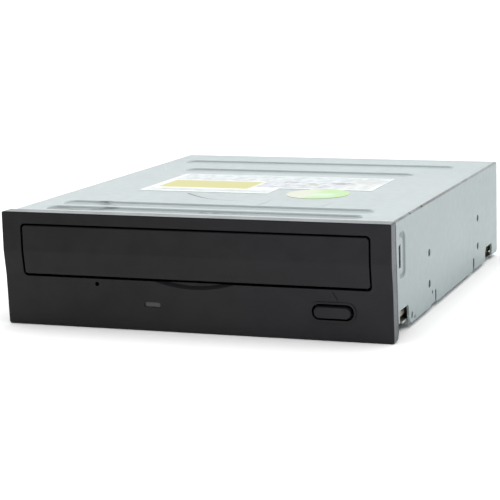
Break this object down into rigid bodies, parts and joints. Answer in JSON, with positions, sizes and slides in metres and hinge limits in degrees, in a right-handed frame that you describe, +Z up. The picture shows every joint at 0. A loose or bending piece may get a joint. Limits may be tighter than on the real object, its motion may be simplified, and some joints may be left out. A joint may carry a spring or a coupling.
{
  "type": "internal DVD writer",
  "caption": "Half-height internal optical disc writer: black bezel with sliding disc tray, steel case with stamped beads and side screw holes, rear connectors.",
  "frame": {"origin": "centre of the underside of the whole drive's bounding box (the bezel's lower edge is the lowest point)", "axes": "+X right seen from the front, -Y out of the front, +Z up"},
  "size_m": [0.148, 0.17, 0.042],
  "materials": {
    "actuator_magnets": "plated magnet",
    "audio_connector": "moulded",
    "audio_pins": "tinned",
    "bezel": "fine satin texture",
    "board_screws": "plated",
    "bottom_cover": "zinc coated sheet, matt",
    "bridge_screws": "plated",
    "cam_slider": "acetal",
    "capacitors": "can",
    "clamp_bridge": "zinc coated sheet",
    "clamper": "moulded",
    "clamper_magnet": "ferrite",
    "cover_screws": "nickel plated",
    "damper_screws": "plated",
    "data_connector": "moulded",
    "data_pins": "plated",
    "disc_tray": "fine texture",
    "drive_belt": "moulded",
    "eject_button": "satin",
    "eject_switch": "satin",
    "eject_switch_plunger": "satin",
    "flat_cable_sockets": "satin",
    "front_board": "brown paper board",
    "front_flat_cable": "laminated film",
    "guide_rods": "ground and polished",
    "jumper_base": "moulded",
    "jumper_cap": "moulded",
    "jumper_pins": "plated",
    "lead_screw": "rolled",
    "led_light_pipe": "clear",
    "lens_holder": "moulded",
    "loader_frame": "moulded",
    "loading_motor": "plated can",
    "main_board": "solder mask",
    "main_chips": "moulded",
    "motor_pulley": "acetal",
    "motor_screws": "plated",
    "motor_shaft": "ground",
    "objective_lens": "coated",
    "optical_pickup": "die cast",
    "pickup_flat_cable": "polyimide film",
    "pickup_rack": "acetal",
    "power_connector": "moulded",
    "power_pins": "tinned",
    "pulley_gear": "acetal",
    "rating_label": "printed film",
    "rotor_magnet": "bonded magnet",
    "round_label": "printed film",
    "rubber_dampers": "soft",
    "sled_motor": "plated can",
    "spindle_motor": "laminations",
    "spindle_rotor": "plated can",
    "status_led": "clear tinted",
    "top_cover": "zinc coated sheet, matt",
    "traverse_base": "zinc coated sheet",
    "traverse_frame": "moulded",
    "tray_door": "fine satin texture",
    "tray_drive_gear": "acetal",
    "turntable": "moulded",
    "turntable_ring": "soft ring"
  },
  "bodies": {
    "drive_body": {"audio_connector": "audio_connector", "audio_pins": "audio_pins", "bezel": "bezel", "board_screws": "board_screws", "bottom_cover": "bottom_cover", "bridge_screws": "bridge_screws", "capacitors": "capacitors", "clamp_bridge": "clamp_bridge", "cover_screws": "cover_screws", "data_connector": "data_connector", "data_pins": "data_pins", "drive_belt": "drive_belt", "eject_switch": "eject_switch", "flat_cable_sockets": "flat_cable_sockets", "front_board": "front_board", "front_flat_cable": "front_flat_cable", "jumper_base": "jumper_base", "jumper_cap": "jumper_cap", "jumper_pins": "jumper_pins", "led_light_pipe": "led_light_pipe", "loader_frame": "loader_frame", "loading_motor": "loading_motor", "main_board": "main_board", "main_chips": "main_chips", "motor_screws": "motor_screws", "power_connector": "power_connector", "power_pins": "power_pins", "rating_label": "rating_label", "round_label": "round_label", "status_led": "status_led", "top_cover": "top_cover"},
    "tray": {"disc_tray": "disc_tray", "tray_door": "tray_door"},
    "eject_button": {"eject_button": "eject_button", "eject_switch_plunger": "eject_switch_plunger"},
    "drive_gear": {"tray_drive_gear": "tray_drive_gear"},
    "pulley_gear": {"pulley_gear": "pulley_gear"},
    "motor_rotor": {"motor_shaft": "motor_shaft", "motor_pulley": "motor_pulley"},
    "cam_slider": {"cam_slider": "cam_slider"},
    "traverse": {"traverse_frame": "traverse_frame", "traverse_base": "traverse_base", "rubber_dampers": "rubber_dampers", "damper_screws": "damper_screws", "guide_rods": "guide_rods", "spindle_motor": "spindle_motor", "sled_motor": "sled_motor", "pickup_flat_cable": "pickup_flat_cable"},
    "spindle": {"spindle_rotor": "spindle_rotor", "rotor_magnet": "rotor_magnet", "turntable": "turntable", "turntable_ring": "turntable_ring"},
    "clamper": {"clamper": "clamper", "clamper_magnet": "clamper_magnet"},
    "sled": {"optical_pickup": "optical_pickup", "pickup_rack": "pickup_rack", "actuator_magnets": "actuator_magnets"},
    "lens": {"lens_holder": "lens_holder", "objective_lens": "objective_lens"},
    "lead_screw": {"lead_screw": "lead_screw"}
  },
  "joints": [
    {"name": "tray_slide", "type": "slide", "parent": "drive_body", "child": "tray", "axis": [0, -1, 0], "range_m": [0, 0.135]},
    {"name": "drive_gear_spin", "type": "hinge", "parent": "drive_body", "child": "drive_gear", "pos_m": [-0.047, -0.061, 0.02], "axis": [0, 0, 1], "range_deg": [-15, 985]},
    {"name": "pulley_gear_spin", "type": "hinge", "parent": "drive_body", "child": "pulley_gear", "pos_m": [-0.02622, -0.058, 0.02], "axis": [0, 0, 1], "range_deg": [-2430, 20]},
    {"name": "motor_spin", "type": "hinge", "parent": "drive_body", "child": "motor_rotor", "pos_m": [0.004, -0.058, 0.018], "axis": [0, 0, 1], "range_deg": [-8160, 20]},
    {"name": "eject_press", "type": "slide", "parent": "drive_body", "child": "eject_button", "axis": [0, 1, 0], "range_m": [0, 0.0005], "stiffness_N_per_m": 300, "springref_m": -0.0003},
    {"name": "cam_slide", "type": "slide", "parent": "drive_body", "child": "cam_slider", "axis": [1, 0, 0], "range_m": [0, 0.016]},
    {"name": "traverse_tilt", "type": "hinge", "parent": "drive_body", "child": "traverse", "pos_m": [0, 0.062, 0.014], "axis": [1, 0, 0], "range_deg": [0, 5.51]},
    {"name": "spindle_spin", "type": "hinge", "parent": "traverse", "child": "spindle", "pos_m": [0, -0.015, 0.028], "axis": [0, 0, 1], "continuous": true},
    {"name": "clamper_spin", "type": "hinge", "parent": "drive_body", "child": "clamper", "pos_m": [0, -0.015, 0.034], "axis": [0, 0, 1], "continuous": true},
    {"name": "sled_slide", "type": "slide", "parent": "traverse", "child": "sled", "axis": [0, 1, 0], "range_m": [0, 0.035], "deforming": ["pickup_flat_cable"]},
    {"name": "lead_screw_spin", "type": "hinge", "parent": "traverse", "child": "lead_screw", "pos_m": [0.033, 0, 0.0202], "axis": [0, 1, 0], "range_deg": [-5, 4210]},
    {"name": "lens_focus", "type": "slide", "parent": "sled", "child": "lens", "axis": [0, 0, 1], "range_m": [-0.0008, 0.0008], "stiffness_N_per_m": 40}
  ],
  "couplings": [
    {"joint": "drive_gear_spin", "follows": "tray_slide", "rad_per_m": 125},
    {"joint": "pulley_gear_spin", "follows": "tray_slide", "rad_per_m": -312.5},
    {"joint": "motor_spin", "follows": "tray_slide", "rad_per_m": -1051.1},
    {"joint": "traverse_tilt", "follows": "cam_slide", "rad_per_m": 6},
    {"joint": "clamper_spin", "follows": "spindle_spin", "ratio": 1},
    {"joint": "lead_screw_spin", "follows": "sled_slide", "rad_per_m": 2094.4}
  ]
}
